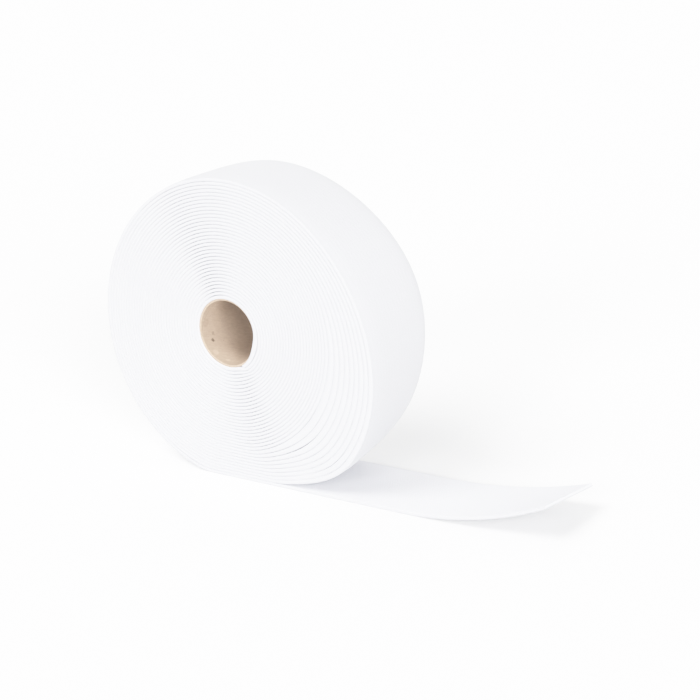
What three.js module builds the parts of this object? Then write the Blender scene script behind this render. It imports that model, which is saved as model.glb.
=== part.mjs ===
// A roll of white hook and loop tape on a thin paper core. It stands on edge, and its loose end runs out
// from under it.
//
// Millimetres, +Z up. The roll's axis runs along +Y, and the loose end runs out along +X. The origin is
// on the surface that the roll stands on, straight under the axis, at the middle of the tape's width.
// Angles round the axis are in degrees, from +X up towards +Z. The tape is wound in that direction, from
// the core outwards: over the top, down the left side, under the roll and out to the right. A place on
// the winding is given by the number of turns that the tape has made up to there.

import * as THREE from 'three';

const TAPE_WIDTH = 50;
const TAPE_THICKNESS = 1.6;
const PIECE_GAP = 0.3;

const CORE_OUTER_RADIUS = 19.1;
const CORE_WALL = 1.1;
const CORE_LENGTH = 48.4;
const CORE_SEGMENTS = 72;

// The winding: where the tape starts on the core, how far it goes round, and how its turns pile up.
const AXIS_HEIGHT = 82.8;
const INNER_END_ANGLE = -65.5;
const TURNS = 33.8;
const TURN_PITCH = 1.915;
const RIM_STATIONS = 144;
const STEP_RUN = 0.4;

// The outer turns are slack and hang away from the tight ones, low on the right. Their near edges hang
// out further and lower than their far ones. Each hang has its middle and its spread each way.
const SLACK_FIRST_TURN = 24;
const SLACK_LAST_TURN = 33.5;
const SLACK_GROWTH = 0.75;
const NEAR_HANG = { amount: 16, angle: -38.5, above: 54, below: 25 };
const FAR_HANG = { amount: 11.2, angle: 7.5, above: 38.5, below: 100 };

// A wound roll is never quite round, and the thin edges of its tape leave it a little crowned.
const OVAL = 0.6;
const OVAL_ANGLE = 55;
const CROWN = 1;

// How softly the rim turns into the flat spot that the roll's weight presses.
const FLAT_SPOT_BLEND = 0.4;
const FLAT_SPOT_REACH = 60;
const DOWN_ANGLE = 270;

// The loose end: flat on the surface as far as CURL_START, then curling up to its cut end.
const LOOSE_END_REACH = 192;
const LOOSE_END_LIFT = 17.5;
const CURL_START = 104;
const CUT_END_TWIST = 1.2;
const ROUND_STEP = 2.5;
const ROUND_STOP_ANGLE = 265;
const FLAT_STATIONS = [12, 40, 72];
const CURL_STEPS = 14;

// Places across the tape's width, from its near edge to its far one.
const COLUMNS = [-25, -22, -16, -6, 6, 16, 22, 25];

const radians = THREE.MathUtils.degToRad;
const degrees = THREE.MathUtils.radToDeg;

const tapeMaterial = new THREE.MeshStandardMaterial({ color: 0xf3f3f6, roughness: 0.92, metalness: 0 });
const paperMaterial = new THREE.MeshStandardMaterial({ color: 0xb5977a, roughness: 0.88, metalness: 0 });

// The smaller of two lengths, rounded off where they cross.
function softMinimum(a, b) {
	const low = Math.min(a, b);
	return low - FLAT_SPOT_BLEND * Math.log1p(Math.exp((low - Math.max(a, b)) / FLAT_SPOT_BLEND));
}

// The angle from one direction to another, from -180 to 180.
function angleBetween(from, to) {
	return THREE.MathUtils.euclideanModulo(to - from + 180, 360) - 180;
}

function angleAt(turn) {
	return INNER_END_ANGLE + 360 * turn;
}

function hangAt(hang, angle) {
	const off = angleBetween(hang.angle, angle);
	return hang.amount * Math.exp(-((off / (off > 0 ? hang.above : hang.below)) ** 2));
}

// The radius of the tape's outer side, before anything presses on the roll.
function looseRadius(turn, y) {
	const angle = angleAt(turn);
	const tight = CORE_OUTER_RADIUS + TURN_PITCH * (turn + 0.5);
	const outwards = (turn - SLACK_FIRST_TURN) / (SLACK_LAST_TURN - SLACK_FIRST_TURN);
	const share = THREE.MathUtils.clamp(outwards, 0, 1) ** SLACK_GROWTH;
	const across = y / TAPE_WIDTH + 0.5;
	const hang = THREE.MathUtils.lerp(hangAt(NEAR_HANG, angle), hangAt(FAR_HANG, angle), across);
	const crown = CROWN * (1 - (2 * y / TAPE_WIDTH) ** 4);
	return tight + share * hang + crown + OVAL * Math.cos(2 * radians(angle - OVAL_ANGLE));
}

// The radius once the roll stands on something level, at a height under the axis.
function restingRadius(turn, y, drop) {
	const fromDown = angleBetween(DOWN_ANGLE, angleAt(turn));
	const radius = looseRadius(turn, y);
	if (Math.abs(fromDown) > FLAT_SPOT_REACH) return radius;
	return softMinimum(radius, drop / Math.cos(radians(fromDown)));
}

// A point at a radius and an angle round the roll's axis.
function roundPoint(radius, angle, y) {
	return new THREE.Vector3(radius * Math.cos(radians(angle)), y, radius * Math.sin(radians(angle)));
}

// A closed body through sections of equal length, each a loop of points. It joins its last section to
// its first if it goes all the way round, and is closed at both ends if it doesn't.
function loft(sections, goesRound) {
	const size = sections[0].length;
	const faces = [];
	const pairs = goesRound ? sections.length : sections.length - 1;
	for (let i = 0; i < pairs; i++) {
		const here = i * size;
		const next = ((i + 1) % sections.length) * size;
		for (let j = 0; j < size; j++) {
			const k = (j + 1) % size;
			faces.push(here + j, here + k, next + k, here + j, next + k, next + j);
		}
	}
	if (!goesRound) {
		const end = (sections.length - 1) * size;
		for (let j = 0; j + 1 < size / 2; j++) {
			const k = size - 1 - j;
			faces.push(j, k, k - 1, j, k - 1, j + 1);
			faces.push(end + j, end + j + 1, end + k - 1, end + j, end + k - 1, end + k);
		}
	}
	const geometry = new THREE.BufferGeometry().setFromPoints(sections.flat());
	geometry.setIndex(faces);
	geometry.computeVertexNormals();
	return geometry;
}

function named(name, geometry, material) {
	const mesh = new THREE.Mesh(geometry, material);
	mesh.name = name;
	return mesh;
}

// The paper tube: a ring of rectangular section round the roll's axis.
function makeCore() {
	const inner = CORE_OUTER_RADIUS - CORE_WALL;
	const half = CORE_LENGTH / 2;
	const section = [
		new THREE.Vector2(inner, -half),
		new THREE.Vector2(CORE_OUTER_RADIUS, -half),
		new THREE.Vector2(CORE_OUTER_RADIUS, half),
		new THREE.Vector2(inner, half),
		new THREE.Vector2(inner, -half),
	];
	return named('core', new THREE.LatheGeometry(section, CORE_SEGMENTS), paperMaterial);
}

// The wound tape: the last whole turn is its rim, so the step where the loose end leaves is in it.
function makeWoundTape() {
	const drop = AXIS_HEIGHT - TAPE_THICKNESS - PIECE_GAP;
	const holeRadius = CORE_OUTER_RADIUS + PIECE_GAP;
	const start = TURNS - 1 + STEP_RUN / 360;
	const sections = [];
	for (let i = 0; i < RIM_STATIONS; i++) {
		const turn = THREE.MathUtils.lerp(start, TURNS, i / (RIM_STATIONS - 1));
		const angle = angleAt(turn);
		sections.push([
			roundPoint(holeRadius, angle, -TAPE_WIDTH / 2),
			...COLUMNS.map((y) => roundPoint(restingRadius(turn, y, drop), angle, y)),
			roundPoint(holeRadius, angle, TAPE_WIDTH / 2),
		]);
	}
	return named('wound_tape', loft(sections, true), tapeMaterial);
}

// The line that the loose end's underside follows at one place across its width.
function looseEndLine(y) {
	const line = [];
	const leave = TURNS + (STEP_RUN + degrees(PIECE_GAP / looseRadius(TURNS, y))) / 360;
	const stop = leave + angleBetween(angleAt(leave), ROUND_STOP_ANGLE) / 360;
	const steps = Math.round(360 * (stop - leave) / ROUND_STEP);
	for (let i = 0; i <= steps; i++) {
		const turn = THREE.MathUtils.lerp(leave, stop, i / steps);
		const point = roundPoint(restingRadius(turn, y, AXIS_HEIGHT), angleAt(turn), y);
		line.push(point.setZ(point.z + AXIS_HEIGHT));
	}
	for (const x of FLAT_STATIONS) line.push(new THREE.Vector3(x, y, 0));
	for (let i = 0; i <= CURL_STEPS; i++) {
		const x = THREE.MathUtils.lerp(CURL_START, LOOSE_END_REACH, i / CURL_STEPS);
		const lift = LOOSE_END_LIFT - CUT_END_TWIST * 2 * y / TAPE_WIDTH;
		line.push(new THREE.Vector3(x, y, lift * (i / CURL_STEPS) ** 2));
	}
	return line;
}

// The same line on the sheet's inner side, one thickness away.
function innerLine(line) {
	return line.map((point, i) => {
		const before = line[Math.max(i - 1, 0)];
		const after = line[Math.min(i + 1, line.length - 1)];
		const along = after.clone().sub(before).normalize();
		return new THREE.Vector3(-along.z, 0, along.x).multiplyScalar(TAPE_THICKNESS).add(point);
	});
}

// The loose end: a sheet between the lines of its underside and those of its inner side.
function makeLooseEnd() {
	const lines = COLUMNS.map(looseEndLine);
	const loop = [...lines, ...lines.map(innerLine).reverse()];
	const sections = lines[0].map((_, i) => loop.map((line) => line[i]));
	return named('loose_end', loft(sections, false), tapeMaterial);
}

const group = new THREE.Group();
const roll = new THREE.Group();
roll.position.set(0, 0, AXIS_HEIGHT);
roll.add(makeCore(), makeWoundTape());
group.add(roll, makeLooseEnd());

export default group;
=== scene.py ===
"""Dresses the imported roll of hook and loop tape: the tape wound turn by turn, its paper core and a stage.

Everything is in metres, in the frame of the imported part: the roll's axis runs along +Y, the loose end runs
out along +X, and the roll stands on z = 0. Angles round the axis are in degrees, from +X up towards +Z. A
place on the winding is the number of turns that the tape has made up to there, from its inner end outwards.
A place across the tape is a share of its half width, from -1 at its near edge to 1 at its far one.
"""

import math

import bpy
import numpy as np
from bpy.props import FloatProperty, FloatVectorProperty, PointerProperty
from bpy.types import Operator, Panel, PropertyGroup
from mathutils import Matrix, Vector


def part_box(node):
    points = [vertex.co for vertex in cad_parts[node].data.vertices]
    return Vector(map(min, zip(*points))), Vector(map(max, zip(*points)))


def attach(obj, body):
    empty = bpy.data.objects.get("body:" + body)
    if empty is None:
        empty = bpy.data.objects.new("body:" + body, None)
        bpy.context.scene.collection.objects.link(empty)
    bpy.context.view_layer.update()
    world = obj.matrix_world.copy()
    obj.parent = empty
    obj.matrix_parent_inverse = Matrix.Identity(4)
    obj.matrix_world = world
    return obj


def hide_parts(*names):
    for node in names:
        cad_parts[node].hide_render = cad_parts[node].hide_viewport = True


bl_info = {
    "name": "Roll of Hook and Loop Tape",
    "version": (1, 0, 0),
    "blender": (4, 5, 0),
    "location": "3D View > Sidebar > Tape Roll",
    "description": "Winds a roll of hook and loop tape on its paper core",
    "category": "Add Mesh",
}

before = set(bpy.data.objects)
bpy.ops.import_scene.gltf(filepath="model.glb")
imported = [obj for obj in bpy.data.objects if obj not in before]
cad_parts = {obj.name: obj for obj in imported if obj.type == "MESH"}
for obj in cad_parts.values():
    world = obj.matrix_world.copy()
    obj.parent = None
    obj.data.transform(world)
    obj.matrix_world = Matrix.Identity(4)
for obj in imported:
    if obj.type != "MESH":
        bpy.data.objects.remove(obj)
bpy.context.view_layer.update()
core_low, core_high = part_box("core")

MM = 0.001


def records(columns, *rows):
    """Rows of values, each value under the name of its column."""
    return [dict(zip(columns, row)) for row in rows]


# The winding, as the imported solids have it.
INNER_END_ANGLE = -65.5
TURNS = 33.8
STOP_ANGLE = 265
SLACK_FIRST_TURN = 24
SLACK_LAST_TURN = 33.5
SLACK_GROWTH = 0.75
OVAL = 0.6 * MM
OVAL_ANGLE = 55
CROWN_POWER = 4
FLAT_SPOT_BLEND = 0.4 * MM
FLAT_SPOT_REACH = 60
DOWN_ANGLE = 270

# Slack turns hang out low on the right, their near edges further than their far ones.
NEAR_HANG, FAR_HANG = records(
    ("amount", "angle", "above", "below"),
    (16 * MM, -38.5, 54, 25),
    (11.2 * MM, 7.5, 38.5, 100),
)

# A few slack turns have sprung further from the turn inside them. The turns on either side of such a gap
# take it up between them.
WIDE_GAPS = records(
    ("turn", "opening", "angle", "spread"),
    (26.55, 0.35 * MM, -50, 8),
    (28.6, 0.15 * MM, -47, 8),
    (31.6, 0.15 * MM, -42, 8),
)
TURNS_AROUND_GAP = 5


class TapeSizes(PropertyGroup):
    """Sizes of the tape and of its winding."""

    width: FloatProperty(name="Width", description="Width of the tape", default=50 * MM, unit="LENGTH")
    thickness: FloatProperty(
        name="Thickness",
        description="Thickness of the tape with its pile",
        default=1.85 * MM,
        unit="LENGTH",
    )
    pitch: FloatProperty(
        name="Pitch",
        description="Distance from one turn to the next",
        default=1.915 * MM,
        unit="LENGTH",
    )
    pressed_pitch: FloatProperty(
        name="Pressed Pitch",
        description="Distance from one turn to the next where the roll's weight presses them",
        default=1.78 * MM,
        unit="LENGTH",
    )
    crown: FloatProperty(
        name="Crown",
        description="How far the middle of the outermost turn stands above its edges",
        default=1 * MM,
        unit="LENGTH",
    )
    selvedge: FloatProperty(
        name="Selvedge",
        description="Width of the plain woven edge",
        default=2.4 * MM,
        unit="LENGTH",
    )
    axis_height: FloatProperty(
        name="Axis Height",
        description="Height of the roll's axis",
        default=82.8 * MM,
        unit="LENGTH",
    )
    reach: FloatProperty(
        name="Reach",
        description="How far the loose end runs out",
        default=192 * MM,
        unit="LENGTH",
    )
    curl_start: FloatProperty(
        name="Curl Start",
        description="Where the loose end leaves the surface",
        default=104 * MM,
        unit="LENGTH",
    )
    lift: FloatProperty(name="Lift", description="Height of the cut end", default=16 * MM, unit="LENGTH")
    twist: FloatProperty(
        name="Twist",
        description="How much higher the cut end's near corner is than its middle",
        default=2.8 * MM,
        unit="LENGTH",
    )


class CoreSizes(PropertyGroup):
    """Sizes of the paper core."""

    wall: FloatProperty(
        name="Wall",
        description="Thickness of the tube's wall",
        default=1.1 * MM,
        unit="LENGTH",
    )
    ply_width: FloatProperty(
        name="Ply Width",
        description="Width of the paper strip that the tube is wound of",
        default=46 * MM,
        unit="LENGTH",
    )


class Finishes(PropertyGroup):
    """Colours of the tape, the paper and the floor."""

    tape: FloatVectorProperty(
        name="Tape",
        description="Colour of the tape",
        default=(0.742, 0.748, 0.795),
        subtype="COLOR",
        min=0,
        max=1,
    )
    paper: FloatVectorProperty(
        name="Paper",
        description="Colour of the core's paper",
        default=(0.36, 0.262, 0.192),
        subtype="COLOR",
        min=0,
        max=1,
    )
    paper_edge: FloatVectorProperty(
        name="Paper Edge",
        description="Colour of the paper's cut edge",
        default=(0.33, 0.24, 0.175),
        subtype="COLOR",
        min=0,
        max=1,
    )
    floor: FloatVectorProperty(
        name="Floor",
        description="Colour of the floor",
        default=(0.93, 0.93, 0.93),
        subtype="COLOR",
        min=0,
        max=1,
    )


class RollSettings(PropertyGroup):
    """All settings of the roll."""

    tape: PointerProperty(type=TapeSizes)
    core: PointerProperty(type=CoreSizes)
    finish: PointerProperty(type=Finishes)


def settings():
    return bpy.context.scene.tape_roll


# Short names for the nodes that both the winding and the materials use.


def add_node(tree, kind, inputs=None, **properties):
    """Adds a node, and sets or links its inputs by their names or numbers."""
    node = tree.nodes.new(kind)
    for name, value in properties.items():
        setattr(node, name, value)
    for key, value in (inputs or {}).items():
        if isinstance(value, bpy.types.NodeSocket):
            tree.links.new(value, node.inputs[key])
        else:
            node.inputs[key].default_value = value
    return node


def maths(tree, operation, *values):
    return add_node(tree, "ShaderNodeMath", dict(enumerate(values)), operation=operation).outputs[0]


def vector_maths(tree, operation, *values):
    node = add_node(tree, "ShaderNodeVectorMath", dict(enumerate(values)), operation=operation)
    return node.outputs["Value" if operation == "LENGTH" else "Vector"]


def scaled(tree, vector, factor):
    inputs = {0: vector, "Scale": factor}
    return add_node(tree, "ShaderNodeVectorMath", inputs, operation="SCALE").outputs[0]


def joined(tree, x=0.0, y=0.0):
    return add_node(tree, "ShaderNodeCombineXYZ", {0: x, 1: y}).outputs[0]


def noise(tree, place, **inputs):
    return add_node(tree, "ShaderNodeTexNoise", {"Vector": place, **inputs}).outputs[0]


def ramp(tree, value, low, high, to_low=0.0, to_high=1.0):
    """A smooth step from one value to another, as the input goes from low to high."""
    inputs = {"Value": value, 1: low, 2: high, 3: to_low, 4: to_high}
    return add_node(tree, "ShaderNodeMapRange", inputs, interpolation_type="SMOOTHSTEP").outputs[0]


def blended(tree, factor, first, second):
    return add_node(tree, "ShaderNodeMix", {0: factor, 2: first, 3: second}, data_type="FLOAT").outputs[0]


def mixed_colour(tree, factor, first, second, blend="MIX"):
    inputs = {0: factor, 6: first, 7: second}
    return add_node(tree, "ShaderNodeMix", inputs, data_type="RGBA", blend_type=blend).outputs[2]


def toned(tree, colour, tone):
    """A colour made lighter or darker by a tone."""
    grey = add_node(tree, "ShaderNodeCombineColor", {0: tone, 1: tone, 2: tone}).outputs[0]
    return mixed_colour(tree, 1.0, colour, grey, "MULTIPLY")


def varied(tree, value, pattern, amount):
    """A value with an amount of a pattern, which goes from 0 to 1 and is centred, added to it."""
    return maths(tree, "MULTIPLY_ADD", maths(tree, "SUBTRACT", pattern, 0.5), amount, value)


def wave(tree, value, length, phase=0.0):
    """A wave from 0 to 1 of a given length."""
    turned = maths(tree, "MULTIPLY_ADD", value, 2 * math.pi / length, phase)
    return maths(tree, "MULTIPLY_ADD", maths(tree, "SINE", turned), 0.5, 0.5)


def opaque(colour):
    return (*colour, 1.0)


def finished_material(name, make_shader):
    """A material whose surface is the shader that a function adds to its tree."""
    material = bpy.data.materials.new(name)
    material.use_nodes = True
    tree = material.node_tree
    tree.nodes.clear()
    shader = make_shader(tree)
    add_node(tree, "ShaderNodeOutputMaterial", {"Surface": shader})
    return material


# The winding's path, worked out before any mesh is made.


def smooth_step(value):
    value = np.clip(value, 0, 1)
    return value * value * (3 - 2 * value)


def bell(off, spread):
    """1 in the middle, and falling off to either side."""
    return np.exp(-((off / spread) ** 2))


def angle_at(turn):
    return INNER_END_ANGLE + 360 * turn


def angle_between(start, end):
    """The angle from one direction to another, from -180 to 180."""
    return (end - start + 180) % 360 - 180


def soft_minimum(a, b):
    """The smaller of two lengths, rounded off where they cross."""
    low = np.minimum(a, b)
    return low - FLAT_SPOT_BLEND * np.log1p(np.exp((low - np.maximum(a, b)) / FLAT_SPOT_BLEND))


def hang_at(hang, angle):
    off = angle_between(hang["angle"], angle)
    return hang["amount"] * bell(off, np.where(off > 0, hang["above"], hang["below"]))


CLIMB_START = -0.027
CLIMB_END = 0.012
CLIMB_WIDENING = 0.5
EVEN_TURN = 16


def climb(turn):
    """How many pitches the tape has climbed. The first turns step up where they cross the tape's inner
    end, each over a longer run than the one inside it, and the later ones climb evenly."""
    seam = turn - CLIMB_START
    whole = np.floor(seam)
    run = (CLIMB_END - CLIMB_START) * (1 + CLIMB_WIDENING * np.clip(whole, 0, None))
    stepped = whole - 1 + smooth_step((seam - whole) / run)
    share = smooth_step(turn / EVEN_TURN)
    return stepped * (1 - share) + (turn - 0.5) * share


def sprung(turn):
    """What the wide gaps among the slack turns add to the radius."""
    total = 0
    for gap in WIDE_GAPS:
        past = turn - gap["turn"]
        taken_up = np.clip(past / TURNS_AROUND_GAP + 0.5, 0, 1)
        step = np.where(past > 0, 1.0, 0.0) - taken_up
        off = angle_between(gap["angle"], angle_at(turn))
        total = total + gap["opening"] * step * bell(off, gap["spread"])
    return total


def outer_radius(tape, turn, across):
    """The radius of the tape's outer side at a place across it."""
    angle = angle_at(turn)
    evenness = smooth_step(turn / EVEN_TURN)
    tight = core_high.x + tape.thickness + tape.pitch * climb(turn)
    tight = tight + (tape.pitch - tape.thickness) * evenness
    slack = (turn - SLACK_FIRST_TURN) / (SLACK_LAST_TURN - SLACK_FIRST_TURN)
    slack = np.clip(slack, 0, 1) ** SLACK_GROWTH
    near, far = hang_at(NEAR_HANG, angle), hang_at(FAR_HANG, angle)
    hang = near + (far - near) * (across + 1) / 2
    crown = tape.crown * (1 - across**CROWN_POWER) * np.clip(turn / TURNS, 0, 1)
    oval = OVAL * np.cos(2 * np.radians(angle - OVAL_ANGLE)) * evenness
    return tight + slack * hang + sprung(turn) * (1 - across) / 2 + crown + oval


def resting_radius(tape, turn, across):
    """The radius once the roll stands on something level."""
    last_pass = TURNS + angle_between(angle_at(TURNS), DOWN_ANGLE) / 360
    drop = tape.axis_height - np.clip(last_pass - turn, 0, None) * tape.pressed_pitch
    from_down = angle_between(DOWN_ANGLE, angle_at(turn))
    radius = outer_radius(tape, turn, across)
    level = drop / np.cos(np.radians(np.clip(from_down, -FLAT_SPOT_REACH, FLAT_SPOT_REACH)))
    return np.where(np.abs(from_down) > FLAT_SPOT_REACH, radius, soft_minimum(radius, level))


# How many stations a turn has, and how close to the inner end's angle the first turns get more.
STATIONS_AT_CORE = 56
STATIONS_AT_RIM = 100
STATIONS_AT_SEAM = 160
SEAM_TURNS = 0.08
INNER_START_TURN = 0.0125
FLAT_STEP = 4 * MM
CURL_POWER = 2.1


def turn_stations():
    """Places along the winding, more to a turn further out and where the first turns step up."""
    last = TURNS + angle_between(angle_at(TURNS), STOP_ANGLE) / 360
    turns = [INNER_START_TURN]
    while turns[-1] < last:
        turn = turns[-1]
        from_seam = abs((turn + 0.5) % 1 - 0.5)
        density = STATIONS_AT_CORE + (STATIONS_AT_RIM - STATIONS_AT_CORE) * turn / TURNS
        if from_seam < SEAM_TURNS and turn < EVEN_TURN / 2:
            density = STATIONS_AT_SEAM
        turns.append(turn + 1 / density)
    turns[-1] = last
    return np.array(turns)


def outer_line(tape, turns, across):
    """The line that the tape's outer side follows, first round the axis and then out along the floor."""
    radius = resting_radius(tape, turns, across)
    angle = np.radians(angle_at(turns))
    wound = np.stack([radius * np.cos(angle), radius * np.sin(angle) + tape.axis_height], axis=1)
    start = tape.axis_height * math.tan(math.radians(STOP_ANGLE - DOWN_ANGLE))
    x = np.arange(start + FLAT_STEP, tape.reach, FLAT_STEP)
    x = np.append(x[x < tape.reach - FLAT_STEP / 2], tape.reach)
    curl = np.clip((x - tape.curl_start) / (tape.reach - tape.curl_start), 0, 1) ** CURL_POWER
    loose = np.stack([x, (tape.lift - tape.twist * across) * curl], axis=1)
    return np.concatenate([wound, loose])


# The gaps that the pile leaves between turns. They open along one slanting axis of the roll, and less so
# at its rim.
SMALLEST_GAP = 0.042 * MM
SLACK_GAP_SHARE = 0.03
LOOSE_GAP = 0.34 * MM
LOOSE_ANGLE = 99.5
LOOSE_SHARPNESS = 4
RIM_SHARE = 0.45

# The most that the pile gives way and fills out, and the run over which it starts to, one turn past the
# tape's inner end. Then how much thinner the loose end lies, and the run over which it gets so.
MOST_THINNING = 0.6 * MM
MOST_THICKENING = 2.5 * MM
INNER_LAP_TURNS = 0.01
LOOSE_END_THINNING = 0.25 * MM
THINNING_TURNS = 0.06


def thickening(tape, turns, across, count):
    """How much thicker the tape is than usual: its pile fills what it can of the room between the turns,
    and the loose end is flattened."""
    room = resting_radius(tape, turns, across) - resting_radius(tape, turns - 1, across)
    opening = sprung(turns) - sprung(turns - 1)
    room = room - np.clip(opening, 0, None) * (1 - across) / 2
    from_axis = np.radians(2 * (angle_at(turns) - LOOSE_ANGLE))
    looser = np.clip(np.cos(from_axis), 0, 1) ** LOOSE_SHARPNESS
    looser = looser * (1 + (RIM_SHARE - 1) * turns / TURNS)
    extra = room - tape.thickness - SMALLEST_GAP - LOOSE_GAP * looser
    extra = np.where(extra > 0, extra * (1 - SLACK_GAP_SHARE), extra)
    has_inner_turn = smooth_step((turns - 1 - INNER_START_TURN) / INNER_LAP_TURNS)
    extra = np.clip(extra, -MOST_THINNING, MOST_THICKENING) * has_inner_turn
    loose = smooth_step((turns - TURNS) / THINNING_TURNS)
    extra = extra * (1 - loose) - LOOSE_END_THINNING * loose
    return np.concatenate([extra, np.full(count - len(turns), -LOOSE_END_THINNING)])


# The tape's near edge leans in over the tube's rim, just after its inner end.
LIP_DEPTH = 1.35 * MM
LIP_ANGLE = -17
LIP_SPREAD = 27
LIP_START = 0.9
OUTER_LIP_SHARE = 0.3


def in_space(points):
    """Points or directions in the plane across the roll's axis, with the missing Y put in."""
    return np.insert(points, 1, 0, axis=1)


def tape_path(tape):
    """The tape's path as a line of points, each with what shapes the tape's section there."""
    turns = turn_stations()
    near, middle, far = (outer_line(tape, turns, across) for across in (-1, 0, 1))
    count = len(middle)
    along = np.gradient(middle, axis=0)
    along /= np.linalg.norm(along, axis=1)[:, None]
    length = np.concatenate([[0], np.cumsum(np.linalg.norm(np.diff(middle, axis=0), axis=1))])
    angle = angle_at(np.concatenate([turns, np.full(count - len(turns), turns[-1])]))
    mesh = bpy.data.meshes.new("tape_path")
    mesh.from_pydata(in_space(middle).tolist(), [(i, i + 1) for i in range(count - 1)], [])
    vectors = {
        "outer": middle,
        "outward": np.stack([along[:, 1], -along[:, 0]], axis=1),
        "lean": (far - near) / 2,
        "droop": (far + near) / 2 - middle,
    }
    numbers = {
        "along": length,
        "loft_near": thickening(tape, turns, -1, count),
        "loft_far": thickening(tape, turns, 1, count),
        "lip": LIP_DEPTH * bell(angle - LIP_ANGLE, LIP_SPREAD) * (angle < LIP_ANGLE + 180),
    }
    for name, values in vectors.items():
        attribute = mesh.attributes.new(name, "FLOAT_VECTOR", "POINT")
        attribute.data.foreach_set("vector", in_space(values).astype(np.float32).ravel())
    for name, values in numbers.items():
        attribute = mesh.attributes.new(name, "FLOAT", "POINT")
        attribute.data.foreach_set("value", values.astype(np.float32))
    return mesh, float(length[-1]), [*vectors, *numbers]


# The tape itself, swept along its path.


def stored(tree, geometry, name, value, data_type="FLOAT", domain="POINT"):
    inputs = {"Geometry": geometry, "Name": name, "Value": value}
    node = add_node(tree, "GeometryNodeStoreNamedAttribute", inputs, data_type=data_type, domain=domain)
    return node.outputs["Geometry"]


def recalled(tree, name, data_type="FLOAT"):
    node = add_node(tree, "GeometryNodeInputNamedAttribute", {"Name": name}, data_type=data_type)
    return node.outputs["Attribute"]


SECTION_SOCKETS = (
    ("Width", "NodeSocketFloat"),
    ("Thickness", "NodeSocketFloat"),
    ("Selvedge", "NodeSocketFloat"),
    ("Selvedge Share", "NodeSocketFloat"),
    ("Edge Wander", "NodeSocketFloat"),
    ("Section Points", "NodeSocketInt"),
    ("Material", "NodeSocketMaterial"),
)

# How square the section is across the tape and through it. At 1 it stays round.
ACROSS_SQUARENESS = 2.06
SIDE_SQUARENESS = 13.0
WANDERS_PER_METRE = 9.0


def squared_off(tree, value, squareness):
    """A value from -1 to 1, moved towards its nearer end."""
    left = maths(tree, "SUBTRACT", 1.0, maths(tree, "ABSOLUTE", value))
    size = maths(tree, "SUBTRACT", 1.0, maths(tree, "POWER", left, squareness))
    return maths(tree, "MULTIPLY", size, maths(tree, "SIGN", value))


def tape_section(tree, given, half_width):
    """The tape's section: a circle spread out nearly to a rectangle. Its points know how far across the
    tape and towards which side of it they lie."""
    circle = add_node(tree, "GeometryNodeCurvePrimitiveCircle", {"Resolution": given["Section Points"]})
    position = tree.nodes.new("GeometryNodeInputPosition").outputs[0]
    place = add_node(tree, "ShaderNodeSeparateXYZ", {0: position}).outputs
    across = squared_off(tree, place["X"], ACROSS_SQUARENESS)
    out_from_middle = maths(tree, "MULTIPLY", maths(tree, "ABSOLUTE", across), half_width)
    from_edge = maths(tree, "SUBTRACT", half_width, out_from_middle)
    thin = ramp(tree, from_edge, 0.0, given["Selvedge"], given["Selvedge Share"], 1.0)
    side = maths(tree, "MULTIPLY", squared_off(tree, place["Y"], SIDE_SQUARENESS), thin)
    section = stored(tree, circle.outputs[0], "across", across)
    return stored(tree, section, "side", side)


def depth_inwards(tree, given, across, side):
    """How far a point of the section lies inwards of the tape's outer side."""
    across_share = maths(tree, "MULTIPLY_ADD", across, 0.5, 0.5)
    loft = blended(tree, across_share, recalled(tree, "loft_near"), recalled(tree, "loft_far"))
    thickness = maths(tree, "ADD", given["Thickness"], loft)
    half_thickness = maths(tree, "MULTIPLY", thickness, 0.5)
    depth = maths(tree, "MULTIPLY", half_thickness, maths(tree, "SUBTRACT", 1.0, side))
    near_share = ramp(tree, across, -LIP_START, -1.0)
    lip_share = maths(tree, "MULTIPLY", near_share, ramp(tree, side, -1.0, 1.0, 1.0, OUTER_LIP_SHARE))
    return maths(tree, "ADD", depth, maths(tree, "MULTIPLY", recalled(tree, "lip"), lip_share))


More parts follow.
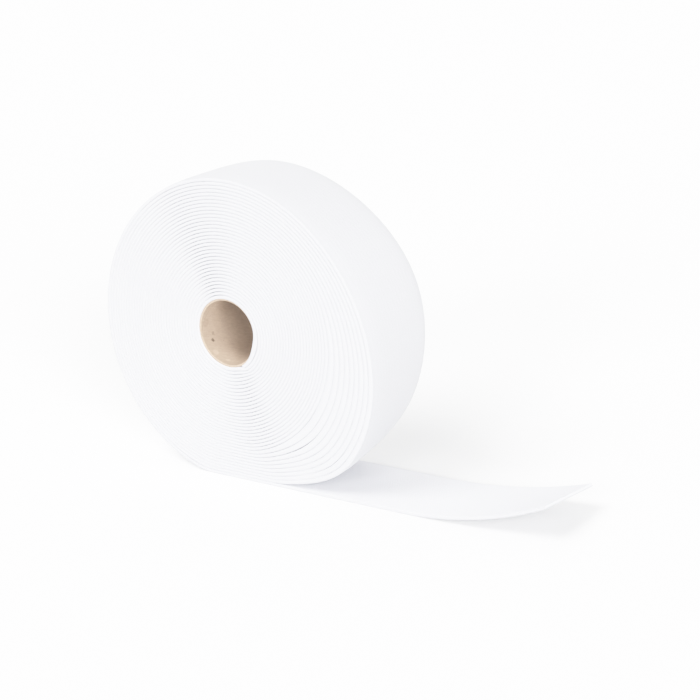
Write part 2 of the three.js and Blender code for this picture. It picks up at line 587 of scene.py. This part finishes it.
def tape_tree():
    """A tree that sweeps the tape's section along its path."""
    tree = bpy.data.node_groups.new("tape_sweep", "GeometryNodeTree")
    tree.interface.new_socket("Geometry", in_out="INPUT", socket_type="NodeSocketGeometry")
    for name, kind in SECTION_SOCKETS:
        tree.interface.new_socket(name, in_out="INPUT", socket_type=kind)
    tree.interface.new_socket("Geometry", in_out="OUTPUT", socket_type="NodeSocketGeometry")
    given = tree.nodes.new("NodeGroupInput").outputs
    half_width = maths(tree, "MULTIPLY", given["Width"], 0.5)

    section = tape_section(tree, given, half_width)
    path = add_node(tree, "GeometryNodeMeshToCurve", {"Mesh": given["Geometry"]}).outputs[0]
    inputs = {"Curve": path, "Profile Curve": section, "Fill Caps": True}
    swept = add_node(tree, "GeometryNodeCurveToMesh", inputs).outputs[0]

    across = recalled(tree, "across")
    side = recalled(tree, "side")
    along = recalled(tree, "along")
    inwards = depth_inwards(tree, given, across, side)
    edge_share = maths(tree, "POWER", maths(tree, "ABSOLUTE", across), float(CROWN_POWER))

    # The edges of the turns wander a little from side to side.
    wander_place = joined(tree, maths(tree, "MULTIPLY", along, WANDERS_PER_METRE))
    wander = noise(tree, wander_place, Scale=1.0, Detail=3.0)
    wander = maths(tree, "MULTIPLY", maths(tree, "SUBTRACT", wander, 0.5), given["Edge Wander"])
    flat_place = maths(tree, "MULTIPLY", across, half_width)
    sideways = maths(tree, "ADD", flat_place, wander)

    lean = scaled(tree, recalled(tree, "lean", "FLOAT_VECTOR"), across)
    droop = scaled(tree, recalled(tree, "droop", "FLOAT_VECTOR"), edge_share)
    inwards = scaled(tree, recalled(tree, "outward", "FLOAT_VECTOR"), inwards)
    spot = recalled(tree, "outer", "FLOAT_VECTOR")
    spot = vector_maths(tree, "ADD", spot, joined(tree, y=sideways))
    spot = vector_maths(tree, "ADD", spot, lean)
    spot = vector_maths(tree, "ADD", spot, droop)
    spot = vector_maths(tree, "SUBTRACT", spot, inwards)
    shaped = add_node(tree, "GeometryNodeSetPosition", {"Geometry": swept, "Position": spot}).outputs[0]
    shaped = add_node(tree, "GeometryNodeFlipFaces", {"Mesh": shaped}).outputs[0]

    shaped = stored(tree, shaped, "UVMap", joined(tree, along, flat_place), "FLOAT2", "CORNER")
    shaped = add_node(tree, "GeometryNodeSetShadeSmooth", {"Geometry": shaped}).outputs[0]
    whole = add_node(tree, "GeometryNodeRealizeInstances", {"Geometry": shaped}).outputs[0]
    finished = add_node(tree, "GeometryNodeSetMaterial", {"Geometry": whole, "Material": given["Material"]})
    add_node(tree, "NodeGroupOutput", {"Geometry": finished.outputs[0]})
    return tree


def modelled(name, mesh, tree, values):
    """The plain mesh that a tree makes of a mesh, as an object of that name."""
    source = bpy.data.objects.new(name + "_source", mesh)
    bpy.context.scene.collection.objects.link(source)
    modifier = source.modifiers.new(name, "NODES")
    modifier.node_group = tree
    for socket in tree.interface.items_tree:
        if socket.item_type == "SOCKET" and socket.in_out == "INPUT" and socket.name in values:
            modifier[socket.identifier] = values[socket.name]
    bpy.context.view_layer.update()
    graph = bpy.context.evaluated_depsgraph_get()
    made = bpy.data.meshes.new_from_object(source.evaluated_get(graph), depsgraph=graph)
    bpy.data.objects.remove(source)
    made.name = name
    piece = bpy.data.objects.new(name, made)
    bpy.context.scene.collection.objects.link(piece)
    return piece


# How light the pile and the tape's edges are beside its plain inner side. The edges, which make the roll's
# flat faces, are darker partly in their own woven colour and partly as painted shade that tones down the
# light on those faces.
PILE_TONE = 0.7
EDGE_WEAVE_AND_SHADE_TONE = 0.62
EDGE_FADE = 0.1 * MM
SELVEDGE_FADE = 0.3 * MM

RIB_WIDTH = 0.8 * MM
PICK_LENGTH = 1.1 * MM
PILE_ROW_WIDTH = 2.4 * MM
WEAVE_DEPTH = 0.16 * MM

# The painted shade of the lowest threads, in the weave's hollows, how much lighter the highest are, and how
# much the tone drifts.
LOWEST_THREAD_SHADE = 0.945
HIGHEST_THREAD_LIFT = 0.06
DRIFT_TONE = 0.03

# Where the pile starts and where it is full, through the tape from its inner side at -1 to its outer at 1.
PILE_START = 0.2
PILE_FULL = 0.6


def tape_material():
    """White woven tape: a low pile of loops on its outer side, a ribbed weave on its inner side and on its
    selvedges."""

    def build(tree):
        tape = settings().tape
        uv = add_node(tree, "ShaderNodeUVMap", uv_map="UVMap").outputs[0]
        in_mm = scaled(tree, uv, 1 / MM)
        place = add_node(tree, "ShaderNodeSeparateXYZ", {0: in_mm}).outputs
        along, across = place["X"], place["Y"]
        side = add_node(tree, "ShaderNodeAttribute", attribute_name="side").outputs["Fac"]
        half_width = tape.width / 2
        selvedge_start = half_width - tape.selvedge
        from_middle = maths(tree, "ABSOLUTE", across)
        plain_from = (selvedge_start - SELVEDGE_FADE) / MM
        plain = ramp(tree, from_middle, plain_from, (selvedge_start + SELVEDGE_FADE) / MM)
        outside = ramp(tree, side, PILE_START, PILE_FULL)
        at_edge = ramp(tree, from_middle, (half_width - EDGE_FADE) / MM, half_width / MM)

        # Weave: ribs along the tape, crossed by picks that alternate from rib to rib.
        rib = wave(tree, across, RIB_WIDTH / MM)
        rib_number = maths(tree, "FLOOR", maths(tree, "DIVIDE", across, RIB_WIDTH / MM))
        pick = wave(tree, along, PICK_LENGTH / MM, maths(tree, "MULTIPLY", rib_number, math.pi))
        weave = maths(tree, "ADD", maths(tree, "MULTIPLY", rib, 0.55), maths(tree, "MULTIPLY", pick, 0.45))

        # Pile: tangled loops, in faint rows along the tape.
        inputs = {"Vector": in_mm, "Scale": 1.15, "Detail": 2.0, "Randomness": 1.0}
        tuft = add_node(tree, "ShaderNodeTexVoronoi", inputs).outputs["Distance"]
        tangle = noise(tree, in_mm, Scale=3.2, Detail=5.0)
        rows = wave(tree, across, PILE_ROW_WIDTH / MM)
        pile = maths(tree, "ADD", maths(tree, "MULTIPLY", tangle, 0.6), maths(tree, "MULTIPLY", tuft, 0.55))
        pile = maths(tree, "ADD", pile, maths(tree, "MULTIPLY", rows, 0.16))
        pile_share = maths(tree, "MULTIPLY", outside, maths(tree, "SUBTRACT", 1.0, plain))
        height = blended(tree, pile_share, weave, pile)

        # Painted shade: what stands higher is lighter and the hollows between threads darker, and the tone
        # drifts a little along the tape.
        drift = noise(tree, in_mm, Scale=0.06, Detail=3.0)
        thread_shade_tone = maths(tree, "MULTIPLY_ADD", height, HIGHEST_THREAD_LIFT, LOWEST_THREAD_SHADE)
        tone = varied(tree, thread_shade_tone, drift, DRIFT_TONE)
        tone = maths(tree, "MULTIPLY", tone, blended(tree, outside, 1.0, PILE_TONE))
        # The cut edges on the roll's flat faces take a darker tone: partly the woven edge's colour, partly
        # painted shade.
        tone = blended(tree, at_edge, tone, maths(tree, "MULTIPLY", thread_shade_tone, EDGE_WEAVE_AND_SHADE_TONE))
        inputs = {"Height": height, "Distance": WEAVE_DEPTH, "Strength": 0.75}
        bump = add_node(tree, "ShaderNodeBump", inputs).outputs[0]
        inputs = {
            "Base Color": toned(tree, opaque(settings().finish.tape), tone),
            "Normal": bump,
            "Roughness": 0.88,
            "Sheen Weight": 0.18,
            "Sheen Roughness": 0.5,
            "Specular IOR Level": 0.25,
        }
        return add_node(tree, "ShaderNodeBsdfPrincipled", inputs).outputs[0]

    return finished_material("tape_weave", build)


# How many points the section has, how thick the selvedge is beside the middle, and how far the tape's edges
# wander.
SECTION_POINTS = 32
SELVEDGE_SHARE = 0.97
EDGE_WANDER = 0.5 * MM


class ROLL_OT_tape(Operator):
    """Winds the tape in one piece, from its inner end on the core to its cut end on the floor"""

    bl_idname = "tape_roll.tape"
    bl_label = "Tape"

    def execute(self, context):
        tape = settings().tape
        path, length, shaping_names = tape_path(tape)
        values = {
            "Width": tape.width,
            "Thickness": tape.thickness,
            "Selvedge": tape.selvedge,
            "Selvedge Share": SELVEDGE_SHARE,
            "Edge Wander": EDGE_WANDER,
            "Section Points": SECTION_POINTS,
            "Material": tape_material(),
        }
        piece = modelled("tape", path, tape_tree(), values)
        for attribute in list(piece.data.attributes):
            if attribute.name in shaping_names:
                piece.data.attributes.remove(attribute)
        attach(piece, "root")
        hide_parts("wound_tape", "loose_end")
        return {"FINISHED"}


# The paper core.
CORE_SEGMENTS = 180
CORE_RINGS = 64
CORE_EDGE = 0.12 * MM
SEAM_DEPTH = 0.16 * MM
SEAM_WIDTH = 0.5 * MM


def helix_share(angle, along, lead):
    """Where a place on the tube lies between two passes of the ply's seam, from -0.5 to 0.5."""
    return (angle / 360 + along / lead + 0.5) % 1 - 0.5


def core_mesh(wall, lead):
    """The paper tube, with the fine groove of its innermost ply's seam running round inside it."""
    outer, length = core_high.x, core_high.y - core_low.y
    centre = (core_low + core_high) / 2
    inner, half = outer - wall, length / 2

    # Each ring has its radius, its place along the tube, and whether it lies inside.
    inside = np.linspace(-0.5, 0.5, CORE_RINGS) * (length - 2 * CORE_EDGE)
    rings = [(inner, along, True) for along in inside]
    rings += [
        (inner + CORE_EDGE, half, False),
        (outer - CORE_EDGE, half, False),
        (outer, half - CORE_EDGE, False),
        (outer, CORE_EDGE - half, False),
        (outer - CORE_EDGE, -half, False),
        (inner + CORE_EDGE, -half, False),
    ]
    points = []
    for ring_radius, along, is_inside in rings:
        for i in range(CORE_SEGMENTS):
            angle = 360 * i / CORE_SEGMENTS
            radius = ring_radius
            if is_inside:
                off = helix_share(angle, along, lead) * lead
                radius += SEAM_DEPTH * math.exp(-((off / SEAM_WIDTH) ** 2))
            turned = math.radians(angle)
            x, z = radius * math.cos(turned), radius * math.sin(turned)
            points.append((x, centre.y + along, centre.z + z))
    faces = []
    for ring in range(len(rings)):
        here = ring * CORE_SEGMENTS
        there = (ring + 1) % len(rings) * CORE_SEGMENTS
        for i in range(CORE_SEGMENTS):
            k = (i + 1) % CORE_SEGMENTS
            faces.append((here + i, here + k, there + k, there + i))
    mesh = bpy.data.meshes.new("core_tube")
    mesh.from_pydata(points, [], faces)
    mesh.shade_smooth()
    return mesh


# Marks in the paper, each at an angle round the tube and a place along it, with its radius and how much
# lighter or darker it is than the paper.
PAPER_MARKS = records(
    ("angle", "along", "radius", "tone"),
    (-153.6, -17.2 * MM, 0.75 * MM, -0.62),
    (-164.8, -15.2 * MM, 0.7 * MM, -0.3),
    (-131.9, -20.3 * MM, 1.6 * MM, 0.22),
    (173.1, -19.8 * MM, 2.2 * MM, -0.16),
    (-106.0, -19.1 * MM, 0.9 * MM, 0.25),
)
MARK_RAGGEDNESS = 0.9 * MM
MARK_EDGE_SHARE = 0.9
MARK_HEART_SHARE = 0.3

# Flecks of bark and of bleached fibre, with how many cells there are to the metre, how far from a cell's
# heart a fleck ends and is at its fullest, in cells, and its tone. The rarity is the share of the cells
# that have none.
PAPER_FLECKS = records(
    ("scale", "edge", "heart", "tone"),
    (420.0, 0.16, 0.08, -0.3),
    (330.0, 0.15, 0.07, 0.22),
)
FLECK_RARITY = 0.72

# How much the paper's tone varies with its fibres, its fine grain and its larger clouds.
FIBRE_TONE = 0.5
GRAIN_TONE = 0.22
CLOUD_TONE = 0.22

# Painted shade: the paper is coloured darker deep inside the tube, where little light reaches, than near its
# ends.
DEEPEST_SHADE_PLACE = 4 * MM
FULL_SHADE_WITHIN = 6 * MM
SHADE_ENDS_BEYOND = 24 * MM
PAINTED_SHADE_TONE = -0.3

# The dark line of the ply's seam, and the light paper of the tube's cut ends.
SEAM_LINE_REACH = 0.35 * MM
SEAM_LINE_HEART = 0.1 * MM
SEAM_TONE = -0.16
CUT_PAPER_REACH = 0.14 * MM
CUT_PAPER_HEART = 0.04 * MM
PAPER_ROUGHNESS_DEPTH = 0.12 * MM


def paper_material(lead):
    """Unbleached brown paper, with its fibres, flecks, the ply's seam and a few marks."""

    def build(tree):
        radius = core_high.x
        centre = (core_low + core_high) / 2
        finish, wall = settings().finish, settings().core.wall
        here = add_node(tree, "ShaderNodeTexCoord").outputs["Object"]
        local = vector_maths(tree, "SUBTRACT", here, (0.0, 0.0, centre.z))
        place = add_node(tree, "ShaderNodeSeparateXYZ", {0: local}).outputs
        angle = maths(tree, "ARCTAN2", place["Z"], place["X"])
        unrolled = joined(tree, maths(tree, "MULTIPLY", angle, radius), place["Y"])

        # Fibres lie along the ply, which winds round at a slant.
        slant = math.atan2(lead, 2 * math.pi * radius)
        inputs = {"Vector": unrolled, "Rotation": (0.0, 0.0, -slant), "Scale": (0.28, 1.0, 1.0)}
        laid = add_node(tree, "ShaderNodeMapping", inputs, vector_type="TEXTURE").outputs[0]
        grain = noise(tree, local, Scale=900.0, Detail=6.0, Roughness=0.62)
        fibres = noise(tree, laid, Scale=260.0, Detail=4.0, Roughness=0.6)
        cloud = noise(tree, local, Scale=120.0, Detail=4.0)
        tone = varied(tree, 1.0, fibres, FIBRE_TONE)
        tone = varied(tree, tone, grain, GRAIN_TONE)
        tone = varied(tree, tone, cloud, CLOUD_TONE)

        for fleck in PAPER_FLECKS:
            inputs = {"Vector": local, "Scale": fleck["scale"], "Randomness": 1.0}
            cells = add_node(tree, "ShaderNodeTexVoronoi", inputs)
            near = ramp(tree, cells.outputs["Distance"], fleck["edge"], fleck["heart"])
            lot = add_node(tree, "ShaderNodeSeparateColor", {0: cells.outputs["Color"]}).outputs[0]
            share = maths(tree, "MULTIPLY", near, maths(tree, "GREATER_THAN", lot, FLECK_RARITY))
            tone = maths(tree, "MULTIPLY_ADD", share, fleck["tone"], tone)

        for mark in PAPER_MARKS:
            turned = math.radians(mark["angle"])
            spot = (radius * math.cos(turned), mark["along"], radius * math.sin(turned))
            away = vector_maths(tree, "LENGTH", vector_maths(tree, "SUBTRACT", local, spot))
            ragged = varied(tree, away, grain, MARK_RAGGEDNESS)
            edge = wall + mark["radius"] * MARK_EDGE_SHARE
            share = ramp(tree, ragged, edge, wall + mark["radius"] * MARK_HEART_SHARE)
            tone = maths(tree, "MULTIPLY_ADD", share, mark["tone"], tone)

        # Painted shade deep inside the tube: the paper's colour darkens away from its ends.
        from_deepest_shade = maths(tree, "ABSOLUTE", maths(tree, "SUBTRACT", place["Y"], DEEPEST_SHADE_PLACE))
        painted_shade = ramp(tree, from_deepest_shade, SHADE_ENDS_BEYOND, FULL_SHADE_WITHIN)
        tone = maths(tree, "MULTIPLY", tone, maths(tree, "MULTIPLY_ADD", painted_shade, PAINTED_SHADE_TONE, 1.0))

        shift = maths(tree, "MULTIPLY_ADD", angle, 0.5 / math.pi, maths(tree, "DIVIDE", place["Y"], lead))
        off = maths(tree, "SUBTRACT", maths(tree, "FRACT", maths(tree, "ADD", shift, 0.5)), 0.5)
        from_seam = maths(tree, "MULTIPLY", maths(tree, "ABSOLUTE", off), lead)
        seam = ramp(tree, from_seam, SEAM_LINE_REACH, SEAM_LINE_HEART)
        tone = maths(tree, "MULTIPLY_ADD", seam, SEAM_TONE, tone)

        end = (core_high.y - core_low.y) / 2
        from_middle = maths(tree, "ABSOLUTE", place["Y"])
        at_cut = ramp(tree, from_middle, end - CUT_PAPER_REACH, end - CUT_PAPER_HEART)
        paper = mixed_colour(tree, at_cut, opaque(finish.paper), opaque(finish.paper_edge))
        grain_height = maths(tree, "MULTIPLY", grain, 0.3)
        height = maths(tree, "ADD", maths(tree, "MULTIPLY", fibres, 0.7), grain_height)
        inputs = {"Height": height, "Distance": PAPER_ROUGHNESS_DEPTH, "Strength": 0.6}
        bump = add_node(tree, "ShaderNodeBump", inputs).outputs[0]
        colour = toned(tree, paper, tone)
        inputs = {"Base Color": colour, "Normal": bump, "Roughness": 0.82, "Specular IOR Level": 0.3}
        return add_node(tree, "ShaderNodeBsdfPrincipled", inputs).outputs[0]

    return finished_material("core_paper", build)


class ROLL_OT_core(Operator):
    """Makes the thin paper tube that the tape is wound on"""

    bl_idname = "tape_roll.core"
    bl_label = "Core"

    def execute(self, context):
        core = settings().core
        mesh = core_mesh(core.wall, core.ply_width)
        mesh.materials.append(paper_material(core.ply_width))
        piece = bpy.data.objects.new("core_tube", mesh)
        context.scene.collection.objects.link(piece)
        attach(piece, "root")
        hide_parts("core")
        return {"FINISHED"}


# The stage: a wide pale floor, the camera and the lights.
FLOOR_REACH = 9.0
FLOOR_DROP = 0.05 * MM
FLOOR_LOW_TONE = 0.995
FLOOR_MOTTLE = 0.01

CAMERA_PLACE = Vector((583.55, -727.30, 356.46)) * MM
CAMERA_TARGET = Vector((62.78, 0, 75.04)) * MM
CAMERA_ROLL = 3.018
CAMERA_CLIP = (0.01, 100)
CAMERA_FOCUS_PIXELS = 1780
IMAGE_PIXELS = 700
SENSOR_WIDTH = 36

# Soft lights, each in a direction from the roll, with how wide it is seen from there, and its strength.
# The azimuth goes from the front, at -Y, round towards +X.
LIGHTS = records(
    ("name", "azimuth", "elevation", "spread", "strength"),
    ("front_right", 52, 17, 25, 7.6),
    ("front_left", 5, 17, 22, 4.2),
    ("high_left", -27, 54, 34, 4.2),
    ("left", -90, 30, 100, 3.2),
    ("back", 180, 30, 90, 3.0),
    ("front", 0, 45, 90, 1.0),
)
SKY_STRENGTH = 0.05

# How the camera's film takes light: it is exposed so far that white is near the top of its response. The
# last two are the most light that the curve covers, and the places of its points as shares of that.
FILM_LIMIT = 1.03
FILM_WHITE = 4
FILM_POINTS = (0.0, 0.02, 0.05, 0.1, 0.17, 0.26, 0.38, 0.52, 0.7, 1.0)


def floor_material():
    """A matt pale floor, all but even."""

    def build(tree):
        here = add_node(tree, "ShaderNodeTexCoord").outputs["Object"]
        mottle = noise(tree, here, Scale=6.0, Detail=3.0)
        tone = maths(tree, "MULTIPLY_ADD", mottle, FLOOR_MOTTLE, FLOOR_LOW_TONE)
        colour = toned(tree, opaque(settings().finish.floor), tone)
        inputs = {"Base Color": colour, "Roughness": 0.9, "Specular IOR Level": 0.0}
        return add_node(tree, "ShaderNodeBsdfPrincipled", inputs).outputs[0]

    return finished_material("pale_floor", build)


def add_floor(collection):
    corners = [(-1, -1), (1, -1), (1, 1), (-1, 1)]
    points = [(x * FLOOR_REACH, y * FLOOR_REACH, -FLOOR_DROP) for x, y in corners]
    mesh = bpy.data.meshes.new("floor")
    mesh.from_pydata(points, [], [(0, 1, 2, 3)])
    mesh.materials.append(floor_material())
    floor = bpy.data.objects.new("floor", mesh)
    collection.objects.link(floor)


def add_sky(scene):
    world = bpy.data.worlds.new("studio")
    world.use_nodes = True
    background = world.node_tree.nodes["Background"]
    background.inputs["Color"].default_value = (1, 1, 1, 1)
    background.inputs["Strength"].default_value = SKY_STRENGTH
    scene.world = world


def add_light(collection, row):
    azimuth, elevation = math.radians(row["azimuth"]), math.radians(row["elevation"])
    level = math.cos(elevation)
    out = Vector((math.sin(azimuth) * level, -math.cos(azimuth) * level, math.sin(elevation)))
    data = bpy.data.lights.new(row["name"], "SUN")
    data.angle = math.radians(row["spread"])
    data.energy = row["strength"]
    light = bpy.data.objects.new(row["name"], data)
    light.matrix_world = (-out).to_track_quat("-Z", "Y").to_matrix().to_4x4()
    collection.objects.link(light)


def add_camera(scene):
    data = bpy.data.cameras.new("camera")
    data.sensor_width = SENSOR_WIDTH
    data.lens = SENSOR_WIDTH * CAMERA_FOCUS_PIXELS / IMAGE_PIXELS
    data.clip_start, data.clip_end = CAMERA_CLIP
    camera = bpy.data.objects.new("camera", data)
    look = (CAMERA_TARGET - CAMERA_PLACE).to_track_quat("-Z", "Y").to_matrix().to_4x4()
    level = Matrix.Rotation(math.radians(-CAMERA_ROLL), 4, "Z")
    camera.matrix_world = Matrix.Translation(CAMERA_PLACE) @ look @ level
    scene.collection.objects.link(camera)
    scene.camera = camera


def film_response(light):
    return min(FILM_LIMIT * (1 - math.exp(-light)), 1)


def set_film(view):
    view.view_transform = "Standard"
    view.use_curve_mapping = True
    mapping = view.curve_mapping
    mapping.white_level = (FILM_WHITE, FILM_WHITE, FILM_WHITE)
    curve = mapping.curves[3]
    places = [(share, film_response(share * FILM_WHITE)) for share in FILM_POINTS]
    curve.points[0].location, curve.points[-1].location = places[0], places[-1]
    for place in places[1:-1]:
        curve.points.new(*place)
    mapping.update()


class ROLL_OT_stage(Operator):
    """Lays the pale floor, and sets up the camera and the soft light"""

    bl_idname = "tape_roll.stage"
    bl_label = "Stage"

    def execute(self, context):
        add_floor(context.scene.collection)
        add_sky(context.scene)
        for row in LIGHTS:
            add_light(context.scene.collection, row)
        add_camera(context.scene)
        set_film(context.scene.view_settings)
        return {"FINISHED"}


class ROLL_PT_panel(Panel):
    """Lists what the roll is made of, with its sizes and colours"""

    bl_idname = "ROLL_PT_panel"
    bl_label = "Tape Roll"
    bl_space_type = "VIEW_3D"
    bl_region_type = "UI"
    bl_category = "Tape Roll"

    def draw(self, context):
        for operator in (ROLL_OT_stage, ROLL_OT_core, ROLL_OT_tape):
            self.layout.operator(operator.bl_idname)
        roll = context.scene.tape_roll
        for group in (roll.tape, roll.core, roll.finish):
            box = self.layout.box()
            for name in group.__annotations__:
                box.prop(group, name)


CLASSES = (
    TapeSizes,
    CoreSizes,
    Finishes,
    RollSettings,
    ROLL_OT_tape,
    ROLL_OT_core,
    ROLL_OT_stage,
    ROLL_PT_panel,
)


def register():
    for cls in CLASSES:
        bpy.utils.register_class(cls)
    bpy.types.Scene.tape_roll = PointerProperty(type=RollSettings)


def unregister():
    del bpy.types.Scene.tape_roll
    for cls in reversed(CLASSES):
        bpy.utils.unregister_class(cls)


def main():
    register()
    bpy.ops.tape_roll.stage()
    bpy.ops.tape_roll.core()
    bpy.ops.tape_roll.tape()


if __name__ == "__main__":
    main()
